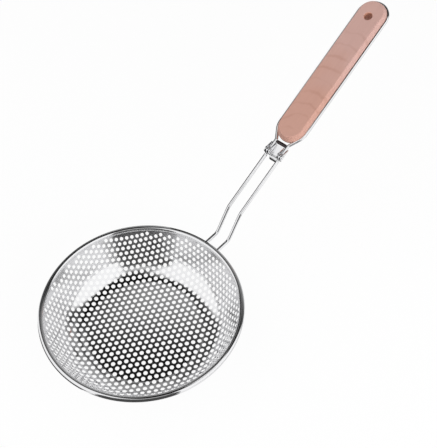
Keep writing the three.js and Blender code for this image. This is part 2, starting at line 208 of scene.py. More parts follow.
def wood():
    material, nodes, links, shader = new_material("grip_beech")
    shader.inputs["Roughness"].default_value = 0.5
    shader.inputs["Specular IOR Level"].default_value = 0.35
    place = nodes.new("ShaderNodeTexCoord")
    turn = nodes.new("ShaderNodeMapping")
    turn.vector_type = "TEXTURE"
    turn.inputs["Location"].default_value = HANDLE_START * MM
    turn.inputs["Rotation"].default_value = (0, -SLOPE, 0)
    links.new(place.outputs["Object"], turn.inputs["Vector"])

    # Browner towards the bowl and pinker towards the hanging hole, in patches
    patches = nodes.new("ShaderNodeTexNoise")
    patches.inputs["Scale"].default_value = 45
    patches.inputs["Detail"].default_value = 1
    links.new(turn.outputs["Vector"], patches.inputs["Vector"])
    apart = nodes.new("ShaderNodeSeparateXYZ")
    links.new(turn.outputs["Vector"], apart.inputs["Vector"])
    drift = nodes.new("ShaderNodeMath")
    drift.operation = "MULTIPLY_ADD"
    drift.inputs[1].default_value = TONE_SWAY
    links.new(patches.outputs["Fac"], drift.inputs[0])
    links.new(apart.outputs["X"], drift.inputs[2])
    share = nodes.new("ShaderNodeMapRange")
    share.inputs["From Min"].default_value = 0.155
    share.inputs["From Max"].default_value = 0.205
    links.new(drift.outputs["Value"], share.inputs["Value"])
    tone = ramp(nodes, (0, WOOD_NEAR), (1, WOOD_FAR))
    links.new(share.outputs["Result"], tone.inputs["Fac"])

    # Thin growth lines: rings about an axis by the hinge, swayed a little
    sway = nodes.new("ShaderNodeTexNoise")
    sway.inputs["Scale"].default_value = 25
    sway.inputs["Detail"].default_value = 2
    links.new(turn.outputs["Vector"], sway.inputs["Vector"])
    swayed = nodes.new("ShaderNodeVectorMath")
    swayed.operation = "MULTIPLY_ADD"
    links.new(sway.outputs["Color"], swayed.inputs[0])
    swayed.inputs[1].default_value = GROWTH_SWAY
    links.new(turn.outputs["Vector"], swayed.inputs[2])
    about = nodes.new("ShaderNodeMapping")
    about.inputs["Location"].default_value = GROWTH_SHIFT
    about.inputs["Scale"].default_value = GROWTH_STRETCH
    links.new(swayed.outputs["Vector"], about.inputs["Vector"])
    rings = nodes.new("ShaderNodeTexWave")
    rings.wave_type = "RINGS"
    rings.rings_direction = "Z"
    rings.inputs["Scale"].default_value = 27
    rings.inputs["Distortion"].default_value = 1.6
    rings.inputs["Detail"].default_value = 1
    rings.inputs["Detail Scale"].default_value = 2
    links.new(about.outputs["Vector"], rings.inputs["Vector"])

    # The growth lines fade out in places
    fading = nodes.new("ShaderNodeMapRange")
    fading.inputs["From Min"].default_value = 0.35
    fading.inputs["From Max"].default_value = 0.65
    fading.inputs["To Max"].default_value = 0.25
    links.new(patches.outputs["Fac"], fading.inputs["Value"])
    faded = nodes.new("ShaderNodeMath")
    faded.operation = "ADD"
    links.new(rings.outputs["Fac"], faded.inputs[0])
    links.new(fading.outputs["Result"], faded.inputs[1])
    lines = ramp(nodes, (0, GROWTH_SHADE), (0.2, UNSHADED))
    links.new(faded.outputs["Value"], lines.inputs["Fac"])

    # Fibres along the grip
    long = nodes.new("ShaderNodeMapping")
    long.inputs["Scale"].default_value = FIBRE_SCALE
    links.new(turn.outputs["Vector"], long.inputs["Vector"])
    fibre = nodes.new("ShaderNodeTexNoise")
    fibre.inputs["Scale"].default_value = 1
    fibre.inputs["Detail"].default_value = 4
    links.new(long.outputs["Vector"], fibre.inputs["Vector"])
    streaks = ramp(nodes, (0.3, FIBRE_SHADE), (0.7, UNSHADED))
    links.new(fibre.outputs["Fac"], streaks.inputs["Fac"])

    # Painted shade inside the hanging hole: the wood is browner there, fading out across the eased edge
    from_hole = nodes.new("ShaderNodeVectorMath")
    from_hole.operation = "SUBTRACT"
    from_hole.inputs[1].default_value = ((WOOD_END - HOLE_INSET) * MM, 0, 0)
    links.new(turn.outputs["Vector"], from_hole.inputs[0])
    level = nodes.new("ShaderNodeVectorMath")
    level.operation = "MULTIPLY"
    level.inputs[1].default_value = (1, 1, 0)
    links.new(from_hole.outputs["Vector"], level.inputs[0])
    apart_from_hole = nodes.new("ShaderNodeVectorMath")
    apart_from_hole.operation = "LENGTH"
    links.new(level.outputs["Vector"], apart_from_hole.inputs[0])
    edge = nodes.new("ShaderNodeMapRange")
    edge.inputs["From Min"].default_value = HANG_RADIUS * MM
    edge.inputs["From Max"].default_value = (HANG_RADIUS + HANG_EASE) * MM
    links.new(apart_from_hole.outputs["Value"], edge.inputs["Value"])
    hole_shade_ramp = ramp(nodes, (0, PAINTED_HOLE_SHADE), (1, UNSHADED))
    links.new(edge.outputs["Result"], hole_shade_ramp.inputs["Fac"])

    lined = multiplied(nodes, links, tone.outputs["Color"], lines.outputs["Color"])
    grained = multiplied(nodes, links, lined, streaks.outputs["Color"])
    # The painted shade in the hanging hole, multiplied in
    hole_shaded = multiplied(nodes, links, grained, hole_shade_ramp.outputs["Color"])
    links.new(hole_shaded, shader.inputs["Base Color"])

    bump = nodes.new("ShaderNodeBump")
    bump.inputs["Strength"].default_value = 0.06
    bump.inputs["Distance"].default_value = 0.0003
    links.new(fibre.outputs["Fac"], bump.inputs["Height"])
    links.new(bump.outputs["Normal"], shader.inputs["Normal"])
    return material


steel = metal("polished_steel", STEEL, roughness=0.09)
sheet_steel = metal("polished_sheet", SHEET_STEEL, roughness=0.13)
# The spreader bar's steel, with its dark reflection painted into the colour
bar_painted_dark = metal("bar_painted_dark_reflection", BAR_PAINTED_DARK, roughness=0.38)
beech = wood()


# Meshes
def new_piece(name, points, faces, body, node, material):
    """A piece of the object from points in millimetres, with its faces turned outwards."""
    mesh = bpy.data.meshes.new(name)
    mesh.from_pydata([Vector(p) * MM for p in points], [], faces)
    mesh.validate()
    outward = bmesh.new()
    outward.from_mesh(mesh)
    bmesh.ops.recalc_face_normals(outward, faces=outward.faces)
    outward.to_mesh(mesh)
    outward.free()
    mesh.shade_smooth()
    mesh.materials.append(material)
    piece = bpy.data.objects.new(name, mesh)
    bpy.context.scene.collection.objects.link(piece)
    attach(piece, body)
    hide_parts(node)
    return piece


def in_handle(x, y, z):
    """A place given along the handle, across it and square to it."""
    return HANDLE_START + ALONG * x + ACROSS * y + NORMAL * z


def eased(share):
    """A share kept between 0 and 1, with a soft start and stop."""
    share = min(max(share, 0), 1)
    return share * share * (3 - 2 * share)


def arc(centre, radius, start, stop, steps):
    turns = [start + (stop - start) * i / steps for i in range(steps + 1)]
    return [Vector((centre[0] + radius * math.cos(t), centre[1] + radius * math.sin(t))) for t in turns]


def rounded_line(corners, radius, steps):
    """A line through corners in a plane, with an arc at each corner between the ends."""
    line = [corners[0]]
    for before, corner, after in zip(corners, corners[1:], corners[2:]):
        into = (corner - before).normalized()
        out = (after - corner).normalized()
        turn = math.asin(into.x * out.y - into.y * out.x)
        to_centre = Vector((-into.y, into.x)) * math.copysign(radius, turn)
        centre = corner - into * radius * math.tan(abs(turn) / 2) + to_centre
        start = math.atan2(-to_centre.y, -to_centre.x)
        line += arc(centre, radius, start, start + turn, steps)
    return line + [corners[-1]]


def loft(rings, closed=False):
    """Quads between neighbouring rings of points, with capped ends unless it closes on itself."""
    count = len(rings[0])
    points = [p for ring in rings for p in ring]
    faces = []
    spans = len(rings) if closed else len(rings) - 1
    for i in range(spans):
        a = i * count
        b = ((i + 1) % len(rings)) * count
        for k in range(count):
            n = (k + 1) % count
            faces.append((a + k, a + n, b + n, b + k))
    if not closed:
        faces.append(tuple(range(count))[::-1])
        faces.append(tuple(len(points) - count + k for k in range(count)))
    return points, faces


def wire_rings(stations, side_axis, radius, sides):
    """Rings across a wire that lies in the plane square to side_axis, mitred at its bends."""
    rings = []
    last = len(stations) - 1
    for i, here in enumerate(stations):
        before = stations[max(i - 1, 0)]
        after = stations[min(i + 1, last)]
        into = (here - before).normalized()
        out = (after - here).normalized()
        tangent = (into + out).normalized()
        up = side_axis.cross(tangent)
        grow = 1 / math.sqrt((1 + into.dot(out)) / 2) if 0 < i < last else 1
        ring = []
        for k in range(sides):
            t = 2 * math.pi * k / sides
            ring.append(here + side_axis * radius * math.cos(t) + up * radius * grow * math.sin(t))
        rings.append(ring)
    return rings


def sharpen(piece, degrees):
    piece.data.set_sharp_from_angle(angle=math.radians(degrees))


def soften(piece, width, segments, degrees):
    edge = piece.modifiers.new("soft_edges", "BEVEL")
    edge.width = width * MM
    edge.segments = segments
    edge.limit_method = "ANGLE"
    edge.angle_limit = math.radians(degrees)
    edge.harden_normals = True


def revolved(section, segments):
    """A closed section of radius and height turned about the bowl's axis."""
    rings = []
    for i in range(segments):
        t = 2 * math.pi * i / segments
        rings.append([Vector((p.x * math.cos(t), p.x * math.sin(t), p.y)) for p in section])
    return loft(rings, closed=True)


# The bowl: hole rows punched in a flat blank, which is then drawn into the bowl
def drawn(rho):
    """Radius, height and tilt of the sheet's middle at a radius of the flat blank."""
    run = FLAT + (rho - FLAT) * BLANK_STRETCH if rho > FLAT else rho
    tilt = min(max((run - FLAT) / CORNER_MIDDLE, 0), LEAN)
    straight = max(run - FLAT - CORNER_RUN, 0)
    radius = min(run, FLAT) + CORNER_MIDDLE * math.sin(tilt) + straight * math.cos(LEAN)
    height = CORNER - CORNER_MIDDLE * math.cos(tilt) + straight * math.sin(LEAN)
    return radius, height, tilt


def on_sheet(blank):
    """A blank's point on the drawn sheet's middle, and the way to the bowl's inside there."""
    rho = blank.length
    radius, height, tilt = drawn(rho)
    way = blank / rho if rho > 0 else Vector((1, 0))
    middle = Vector((way.x * radius, way.y * radius, height))
    inward = Vector((-way.x * math.sin(tilt), -way.y * math.sin(tilt), math.cos(tilt)))
    return middle, inward


def perforated_bowl():
    along = Vector((math.cos(HOLE_ROW_TURN), math.sin(HOLE_ROW_TURN))) * HOLE_PITCH
    beside = Matrix.Rotation(math.pi / 3, 2) @ along

    # The edge of one hole's cell, in sixths of the pitch: the middle of each side, then a corner
    sixths = 6
    cell_edge = [(3, 0), (2, 2), (0, 3), (-2, 4), (-3, 3), (-4, 2),
                 (-3, 0), (-2, -2), (0, -3), (2, -4), (3, -3), (4, -2)]
    ring_steps = len(cell_edge)
    steps = [(k, (k + 1) % ring_steps) for k in range(ring_steps)]

    # The points round a hole lie a little further out, so that it is as open as a round one
    hole_radius = HOLE_RADIUS * math.sqrt(2 * math.pi / (ring_steps * math.sin(2 * math.pi / ring_steps)))
    points = []
    inward = []
    hole_of = []
    clamped = []
    shared = {}

    def add(blank, hole=None):
        out = blank.length > BLANK_RADIUS
        if out:
            blank = blank * (BLANK_RADIUS / blank.length)
        middle, normal = on_sheet(blank)
        points.append(middle)
        inward.append(normal)
        hole_of.append(hole)
        clamped.append(out)
        return len(points) - 1

    def corner(i, j):
        if (i, j) not in shared:
            shared[(i, j)] = add(FIRST_HOLE + along * (i / sixths) + beside * (j / sixths))
        return shared[(i, j)]

    # Twice as many rows as the radius has pitches are sure to cover the blank
    faces = []
    reach = 2 * math.ceil(BLANK_RADIUS / HOLE_PITCH)
    for i in range(-reach, reach + 1):
        for j in range(-reach, reach + 1):
            centre = FIRST_HOLE + along * i + beside * j
            if centre.length > BLANK_RADIUS + HOLE_PITCH:
                continue
            edge = [corner(sixths * i + a, sixths * j + b) for a, b in cell_edge]
            if (centre - FIELD_OFFSET).length + HOLE_RADIUS < BLANK_RADIUS - PLAIN_EDGE:
                middle = on_sheet(centre)[0]
                ring = []
                for k in range(ring_steps):
                    t = HOLE_ROW_TURN + 2 * math.pi * k / ring_steps
                    ring.append(add(centre + Vector((math.cos(t), math.sin(t))) * hole_radius, middle))
                cell = [(ring[k], edge[k], edge[n], ring[n]) for k, n in steps]
            else:
                hub = add(centre)
                cell = [(hub, edge[k], edge[n]) for k, n in steps]
            faces += [face for face in cell if not all(clamped[v] for v in face)]

    # Both sides of the sheet, and its edges round the holes and along the rim
    edges = dict.fromkeys(pair for face in faces for pair in zip(face, face[1:] + face[:1]))
    rims = [(a, b) for a, b in edges if (b, a) not in edges]
    count = len(points)
    inner = [p + n * HALF_SHEET for p, n in zip(points, inward)]
    outer = [p - n * HALF_SHEET for p, n in zip(points, inward)]
    all_faces = faces + [tuple(v + count for v in face[::-1]) for face in faces]
    all_faces += [(b, a, a + count, b + count) for a, b in rims]
    piece = new_piece("bowl_perforated", inner + outer, all_faces,
                      "bowl", "bowl_sheet", sheet_steel)

    # Normals of the smooth sheet and of round holes
    sheet_faces = 2 * len(faces)
    normals = []
    for polygon in piece.data.polygons:
        for v in polygon.vertices:
            base = v % count
            if polygon.index < sheet_faces:
                normals.append(inward[base] if v < count else -inward[base])
            elif hole_of[base] is not None:
                normals.append((hole_of[base] - points[base]).normalized())
            else:
                normals.append(polygon.normal.copy())
    piece.data.normals_split_custom_set(normals)


def rolled_rim():
    centre = Vector((BEAD_CENTRE, RIM_HEIGHT))
    slit = HALF_SHEET + FIT / 2
    outer_gap = math.asin(slit / BEAD_RADIUS)
    inner_gap = math.asin(slit / STRIP_BORE)
    start = LEAN - math.pi
    stop = LEAN + math.pi
    outside = arc(centre, BEAD_RADIUS, start + outer_gap, stop - outer_gap, steps=36)
    inside = arc(centre, STRIP_BORE, stop - inner_gap, start + inner_gap, steps=16)
    points, faces = revolved(outside + inside, segments=240)
    piece = new_piece("rim_rolled", points, faces, "bowl", "rim_binding", steel)
    sharpen(piece, degrees=45)


# Wires
def shank_wire(name, node, side):
    below = RIM_HEIGHT - SHANK_LEVEL - WIRE_RADIUS
    wall = BEAD_CENTRE - below / math.tan(LEAN) + HALF_SHEET / math.sin(LEAN)
    start_x = math.sqrt((wall + FIT) ** 2 - (WIRE_SIDE - WIRE_RADIUS) ** 2)
    round_end = PIVOT - EYE_TONGUE
    up_handle = Vector((math.cos(SLOPE), math.sin(SLOPE)))
    corners = [Vector((start_x, SHANK_LEVEL)), FIRST_BEND, SECOND_BEND, SECOND_BEND + up_handle * round_end]
    line = rounded_line(corners, SHANK_BEND, steps=10)
    y = side * WIRE_SIDE
    sides = 24
    rings = wire_rings([Vector((p.x, y, p.y)) for p in line], ACROSS, WIRE_RADIUS, sides)

    # The wire's end, flattened and raised to an eye about the rivet
    eye_steps = 18
    for i in range(1, eye_steps + 1):
        x = round_end + (EYE_TONGUE + EYE_RADIUS) * (1 - (1 - i / eye_steps) ** 2)
        flat = eased((x - round_end) / (EYE_TONGUE - EYE_RADIUS))
        tall = eased((x - PIVOT + EYE_RISE_START) / (EYE_RISE_START - EYE_RISE_STOP))
        end = math.sqrt(max(1 - ((x - PIVOT) / EYE_RADIUS) ** 2, EYE_TIP ** 2)) if x > PIVOT else 1
        half_height = (WIRE_RADIUS + (EYE_RADIUS - WIRE_RADIUS) * tall) * end
        half_width = WIRE_RADIUS + (EYE_THICK / 2 - WIRE_RADIUS) * flat
        power = 1 - EYE_SQUARENESS * flat
        ring = []
        for k in range(sides):
            t = 2 * math.pi * k / sides
            c, s = math.cos(t), math.sin(t)
            across = math.copysign(abs(c) ** power, c) * half_width
            high = math.copysign(abs(s) ** power, s) * half_height
            ring.append(in_handle(x, y + across, PIVOT_LIFT * tall - high))
        rings.append(ring)
    points, faces = loft(rings)
    piece = new_piece(name, points, faces, "bowl", node, steel)
    sharpen(piece, degrees=50)


def grip_wire_line():
    """The loop's middle line: along one side of the grip, round its end and back along the other side."""
    near = Vector((WOOD_START + WOOD_HALF, 0))
    far = Vector((WOOD_END - WOOD_HALF, 0))
    near_arc = arc(near, LOOP_RADIUS, math.pi / 2 + NECK_ANGLE, math.pi / 2, steps=10)
    neck = (near_arc[0].y - WIRE_SIDE) / math.tan(NECK_ANGLE)
    corner = Vector((near_arc[0].x - neck, WIRE_SIDE))
    start = Vector((GRIP_WIRE_START, WIRE_SIDE))
    half = rounded_line([start, corner, near_arc[0]], NECK_BEND, steps=8)[:-1]
    half += near_arc + arc(far, LOOP_RADIUS, math.pi / 2, 0, steps=24)
    return half + [Vector((p.x, -p.y)) for p in half[-2::-1]]


def grip_wire():
    stations = [in_handle(p.x, p.y, 0) for p in grip_wire_line()]
    points, faces = loft(wire_rings(stations, NORMAL, GRIP_WIRE, sides=24))
    piece = new_piece("grip_wire_loop", points, faces, "grip", "grip_wire", steel)
    sharpen(piece, degrees=50)


# The hinge
def bracket_top(x):
    """How high the bracket's side walls stand: round ears about the pivot, then a falling tail."""
    tail_from = PIVOT - EAR_RADIUS * math.cos(EAR_TURN)
    if x <= tail_from:
        return PIVOT_LIFT + math.sqrt(max(EAR_RADIUS ** 2 - (x - PIVOT) ** 2, 0))
    ear = PIVOT_LIFT + EAR_RADIUS * math.sin(EAR_TURN)
    share = (x - tail_from) / (BRACKET_END - tail_from)
    return ear + (TAIL_WALL - ear) * share


def hinge_bracket():
    web_top = -TROUGH_INNER
    bend = BRACKET
    hold = 0.06

    def section(x):
        """The sheet's cross-section; a point just past each bend keeps the flat walls flat."""
        top = bracket_top(x)
        left, right = -WIRE_SIDE, WIRE_SIDE
        ring = [Vector((left - TROUGH_OUTER, top)), Vector((left - TROUGH_OUTER, hold))]
        ring += arc((left, 0), TROUGH_OUTER, math.pi, math.pi * 1.5, steps=10)
        ring += [Vector((left + hold, -TROUGH_OUTER)), Vector((right - hold, -TROUGH_OUTER))]
        ring += arc((right, 0), TROUGH_OUTER, -math.pi / 2, 0, steps=10)
        ring += [Vector((right + TROUGH_OUTER, hold)), Vector((right + TROUGH_OUTER, top))]
        ring += [Vector((right + TROUGH_INNER, top)), Vector((right + TROUGH_INNER, hold))]
        ring += arc((right, 0), TROUGH_INNER, 0, -math.pi, steps=16)
        ring += [Vector((right - TROUGH_INNER, hold)), Vector((right - TROUGH_INNER, top))]
        ring += [Vector((right - TROUGH_OUTER, top)), Vector((right - TROUGH_OUTER, web_top + bend + hold))]
        ring += arc((right - TROUGH_OUTER - bend, web_top + bend), bend, 0, -math.pi / 2, steps=5)
        ring += [Vector((right - TROUGH_OUTER - bend - hold, web_top))]
        ring += [Vector((left + TROUGH_OUTER + bend + hold, web_top))]
        ring += arc((left + TROUGH_OUTER + bend, web_top + bend), bend, -math.pi / 2, -math.pi, steps=5)
        ring += [Vector((left + TROUGH_OUTER, web_top + bend + hold)), Vector((left + TROUGH_OUTER, top))]
        ring += [Vector((left + TROUGH_INNER, top)), Vector((left + TROUGH_INNER, hold))]
        ring += arc((left, 0), TROUGH_INNER, 0, -math.pi, steps=16)
        ring += [Vector((left - TROUGH_INNER, hold)), Vector((left - TROUGH_INNER, top))]
        return [in_handle(x, p.x, p.y) for p in ring]

    ear_steps = 14
    ear_xs = [PIVOT - EAR_RADIUS * math.cos(EAR_TURN * i / ear_steps) for i in range(ear_steps + 1)]
    points, faces = loft([section(x) for x in ear_xs + [BRACKET_END]])

    # The lip: a tongue bent down at the bowl's end
    tip = BRACKET_START - LIP_REACH + BRACKET / 2
    middle = -TROUGH_INNER - BRACKET / 2
    corners = [Vector((BRACKET_START + LIP_ROOT, middle)), Vector((BRACKET_START - BRACKET, middle)),
               Vector((tip, middle - LIP_REACH)), Vector((tip, -TROUGH_INNER - LIP_DROP))]
    line = rounded_line(corners, LIP_BEND, steps=6)
    last = len(line) - 1
    rings = []
    for i, here in enumerate(line):
        way = (line[min(i + 1, last)] - line[max(i - 1, 0)]).normalized()
        out = Vector((-way.y, way.x)) * BRACKET / 2
        half = LIP_WIDTH / 2 - (LIP_CORNER if i == last else 0)
        ring = []
        for y, push in ((-half, 1), (half, 1), (half, -1), (-half, -1)):
            ring.append(in_handle(here.x + out.x * push, y, here.y + out.y * push))
        rings.append(ring)
    lip_points, lip_faces = loft(rings)
    faces += [tuple(v + len(points) for v in face) for face in lip_faces]
    piece = new_piece("hinge_folded_sheet", points + lip_points, faces,
                      "grip", "hinge_bracket", steel)
    sharpen(piece, degrees=40)
    soften(piece, BRACKET_EASE, segments=3, degrees=40)


def lathed_across(profile, x, y, z, sides):
    """A closed turned shape about an axis across the handle, from pairs of radius and place along it."""
    rings = []
    for radius, place in profile:
        ring = []
        for k in range(sides):
            t = 2 * math.pi * k / sides
            ring.append(in_handle(x + radius * math.cos(t), y + place, z + radius * math.sin(t)))
        rings.append(ring)
    return loft(rings)


def hinge_rivet(name, node, side):
    half = TROUGH_OUTER + RIVET_PLAY
    head_steps = 6
    top = [(RIVET_RADIUS, half)]
    for i in range(head_steps + 1):
        t = math.pi / 2 * i / head_steps
        top.append((max(RIVET_HEAD * math.cos(t), RIVET_TIP), half + RIVET_HEAD_THICK * math.sin(t)))
    profile = [(radius, -place) for radius, place in top[::-1]] + top
    points, faces = lathed_across(profile, PIVOT, side * WIRE_SIDE, PIVOT_LIFT, sides=24)
    piece = new_piece(name, points, faces, "grip", node, steel)
    sharpen(piece, degrees=50)


def spreader_bar():
    half = WIRE_SIDE - GRIP_WIRE - FIT
    face = SPREADER_RADIUS - SPREADER_EASE
    top = [(SPREADER_RADIUS, half - SPREADER_EASE), (face, half)]
    profile = [(radius, -place) for radius, place in top[::-1]] + top
    points, faces = lathed_across(profile, SPREADER, 0, 0, sides=28)
    # The bar's colour holds a painted dark reflection
    piece = new_piece("spreader_bar_turned", points, faces,
                      "grip", "spreader_bar", bar_painted_dark)
    sharpen(piece, degrees=40)


# The wooden grip: rounded faces, a groove for the wire, and the hanging hole
def wood_grip():
    near = Vector((WOOD_START + WOOD_HALF, 0))
    far = Vector((WOOD_END - WOOD_HALF, 0))
    end_steps = 36
    outline = []
    for centre, start in ((far, -math.pi / 2), (near, math.pi / 2)):
        for i in range(end_steps + 1):
            t = start + math.pi * i / end_steps
            outline.append((centre, Vector((math.cos(t), math.sin(t)))))
    side_steps = 24
    loop = []
    for (centre, way), (next_centre, _) in zip(outline, outline[1:] + outline[:1]):
        loop.append((centre, way))
        if next_centre is not centre:
            loop += [(centre.lerp(next_centre, i / side_steps), way) for i in range(1, side_steps)]

    groove = GRIP_WIRE + GROOVE_PLAY
    half = WOOD_THICK / 2
    flat_side = Vector((WOOD_EDGE_WIDTH + 2 * WOOD_EDGE_ROUND, half))
    shoulder = Vector((WOOD_EDGE_WIDTH, half))
    lower = Vector((WOOD_MOUTH, half - WOOD_EDGE_DEPTH))
    edge = rounded_line([flat_side, shoulder, lower], WOOD_EDGE_ROUND, steps=5)
    edge_count = len(edge)
    mouth = math.asin((WIRE_INSET - WOOD_MOUTH) / groove)
    in_groove = arc((WIRE_INSET, 0), groove, math.pi / 2 + mouth, -math.pi / 2 - mouth, steps=12)
    profile = [(p.x, p.y) for p in edge + in_groove] + [(p.x, -p.y) for p in edge[::-1]]

    def kept(centre, way):
        """How deep the groove is: full where the wire lies, none on the near tip."""
        if centre.x > near.x:
            return 1
        turn = math.atan2(abs(way.y), -way.x)
        return eased((turn - (math.pi / 2 - NECK_ANGLE - GROOVE_LEAD)) / GROOVE_FADE)

    rings = []
    count = len(profile)
    for centre, way in loop:
        depth = kept(centre, way)
        ring = []
        for i, (d, z) in enumerate(profile):
            beside_groove = i < edge_count or i >= count - edge_count
            inset = d if beside_groove else d * depth
            p = centre + way * (WOOD_HALF - inset)
            ring.append(in_handle(p.x, p.y, z))
        rings.append(ring)
    points = [p for ring in rings for p in ring]
    faces = []
    total = len(rings)
    for i in range(total):
        a, b = i * count, ((i + 1) % total) * count
        for k in range(count - 1):
            faces.append((a + k, a + k + 1, b + k + 1, b + k))

    # The hanging hole, with eased edges
    hole_x = WOOD_END - HOLE_INSET
    ease_steps = 6
    hole_profile = []
    for i in range(ease_steps + 1):
        t = math.pi / 2 * i / ease_steps
        radius = HANG_RADIUS + HANG_EASE * (1 - math.sin(t))
        hole_profile.append((radius, half - HANG_EASE * (1 - math.cos(t))))
    hole_profile += [(r, -z) for r, z in hole_profile[::-1]]
    sides = 48
    hole_start = len(points)
    for k in range(sides):
        t = 2 * math.pi * k / sides
        for r, z in hole_profile:
            points.append(in_handle(hole_x + r * math.cos(t), r * math.sin(t), z))
    deep = len(hole_profile)
    for k in range(sides):
        a, b = hole_start + k * deep, hole_start + ((k + 1) % sides) * deep
        for q in range(deep - 1):
            faces.append((a + q, b + q, b + q + 1, a + q + 1))

    # Both flat faces: strips from the outline to the hole, by matching angle about the hole
    for top in (True, False):
        outer = [i * count + (0 if top else count - 1) for i in range(total)]
        inner = [hole_start + k * deep + (0 if top else deep - 1) for k in range(sides)]
        faces += ring_fill(points, outer, inner, top)
    piece = new_piece("wood_grip_shaped", points, faces, "grip", "wood_grip", beech)
    sharpen(piece, degrees=35)


def ring_fill(points, outer, inner, up):
    """Triangles between two loops about the same place, both running the same way round."""
    hub = sum((points[v] for v in inner), Vector()) / len(inner)

    def turn(v):
        p = points[v] - hub
        return math.atan2(p.dot(ACROSS), p.dot(ALONG)) % (2 * math.pi)

    def from_lowest(loop):
        start = min(range(len(loop)), key=lambda i: turn(loop[i]))
        return loop[start:] + loop[:start]

    def next_turn(loop, i):
        """Where the loop's next point lies, counted on past a full turn."""
        past = 2 * math.pi if i + 1 >= len(loop) else 0
        return past + turn(loop[(i + 1) % len(loop)])

    outer, inner = from_lowest(outer), from_lowest(inner)
    faces = []
    i = j = 0
    while i < len(outer) or j < len(inner):
        a, b = outer[i % len(outer)], inner[j % len(inner)]
        next_a = next_turn(outer, i)
        next_b = next_turn(inner, j)
        if i < len(outer) and (j >= len(inner) or next_a <= next_b):
            face = (a, outer[(i + 1) % len(outer)], b)
            i += 1
        else:
            face = (a, inner[(j + 1) % len(inner)], b)
            j += 1
        faces.append(face if up else face[::-1])
    return faces


perforated_bowl()
rolled_rim()
shank_wire("shank_left_round", "shank_wire_left", 1)
shank_wire("shank_right_round", "shank_wire_right", -1)
hinge_bracket()
hinge_rivet("rivet_left_domed", "hinge_rivet_left", 1)
hinge_rivet("rivet_right_domed", "hinge_rivet_right", -1)
spreader_bar()
grip_wire()
wood_grip()

# The wire inside the rim shows as its solid
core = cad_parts["rim_core_wire"]
core.material_slots[0].material = steel

# Camera, from the photograph's fitted view
VIEW_TURN = math.radians(48.26)
VIEW_HEIGHT = math.radians(50.97)
VIEW_ROLL = math.radians(-0.40)
EYE = Vector((-186.24, -246.44, 509.50)) * MM
IMAGE_HEIGHT = 448
FOCAL_PIXELS = 721.0
SENSOR = 36.0

right = Vector((1, 0, 0))
up = Vector((0, math.sin(VIEW_HEIGHT), math.cos(VIEW_HEIGHT)))
back = Vector((0, -math.cos(VIEW_HEIGHT), math.sin(VIEW_HEIGHT)))
rolled_right = right * math.cos(VIEW_ROLL) + up * math.sin(VIEW_ROLL)
rolled_up = up * math.cos(VIEW_ROLL) - right * math.sin(VIEW_ROLL)
to_part = Matrix.Rotation(-VIEW_TURN, 3, "Z")
pose = Matrix((to_part @ rolled_right, to_part @ rolled_up, to_part @ back)).transposed().to_4x4()
pose.translation = EYE
lens = bpy.data.cameras.new("photo_camera")
lens.sensor_fit = "VERTICAL"
lens.sensor_height = SENSOR
lens.lens = FOCAL_PIXELS * SENSOR / IMAGE_HEIGHT
camera = bpy.data.objects.new("photo_camera", lens)
camera.matrix_world = pose
bpy.context.scene.collection.objects.link(camera)
bpy.context.scene.camera = camera


# Stage: white floor and surroundings, soft lamps, and light and dark cards that only the metal shows
FLOOR_HALF = 3.0
FLOOR_GLOW = 0.92
FLOOR_GAP = 0.001
CARD_HEIGHT = 0.8
DARK = 0.075
FILL = 0.52


def seen_directly(nodes, links):
    """1 where the camera, a mirror or glass sees it, and 0 where it only gives light."""
    path = nodes.new("ShaderNodeLightPath")
    both = nodes.new("ShaderNodeMath")
    both.operation = "MAXIMUM"
    links.new(path.outputs["Is Camera Ray"], both.inputs[0])
    links.new(path.outputs["Is Glossy Ray"], both.inputs[1])
    every = nodes.new("ShaderNodeMath")
    every.operation = "MAXIMUM"
    links.new(both.outputs["Value"], every.inputs[0])
    links.new(path.outputs["Is Transmission Ray"], every.inputs[1])
    return every.outputs["Value"]


def stage_mesh(name, points, faces, material):
    mesh = bpy.data.meshes.new(name)
    mesh.from_pydata(points, [], faces)
    mesh.materials.append(material)
    obj = bpy.data.objects.new(name, mesh)
    bpy.context.scene.collection.objects.link(obj)
    return obj


def floor():
    """A white floor, which keeps a faint shadow of the object."""
    material, nodes, links, shader = new_material("floor_white")
    shader.inputs["Base Color"].default_value = (*FLOOR_WHITE, 1)
    shader.inputs["Roughness"].default_value = 1
    shader.inputs["Specular IOR Level"].default_value = 0
    glow = nodes.new("ShaderNodeEmission")
    share = nodes.new("ShaderNodeMath")
    share.operation = "MULTIPLY"
    share.inputs[1].default_value = FLOOR_GLOW
    links.new(seen_directly(nodes, links), share.inputs[0])
    mix = nodes.new("ShaderNodeMixShader")
    links.new(share.outputs["Value"], mix.inputs["Fac"])
    links.new(shader.outputs["BSDF"], mix.inputs[1])
    links.new(glow.outputs["Emission"], mix.inputs[2])
    links.new(mix.outputs["Shader"], nodes["Material Output"].inputs["Surface"])
    corners = [(-1, -1), (1, -1), (1, 1), (-1, 1)]
    points = [(x * FLOOR_HALF, y * FLOOR_HALF, 0) for x, y in corners]
    stage_mesh("floor", points, [(0, 1, 2, 3)], material)


def from_photo(azimuth, elevation, distance):
    """A place seen from the bowl: azimuth from the picture's right, counter-clockwise from above."""
    a, e = math.radians(azimuth), math.radians(elevation)
    flat = Vector((math.cos(a) * math.cos(e), math.sin(a) * math.cos(e), math.sin(e))) * distance
    return Matrix.Rotation(-VIEW_TURN, 3, "Z") @ flat


def plain_glow(name):
    material = bpy.data.materials.new(name)
    material.use_nodes = True
    nodes, links = material.node_tree.nodes, material.node_tree.links
    nodes.remove(nodes["Principled BSDF"])
    glow = nodes.new("ShaderNodeEmission")
    glow.inputs["Strength"].default_value = 1
    links.new(glow.outputs["Emission"], nodes["Material Output"].inputs["Surface"])
    return material, nodes, links, glow


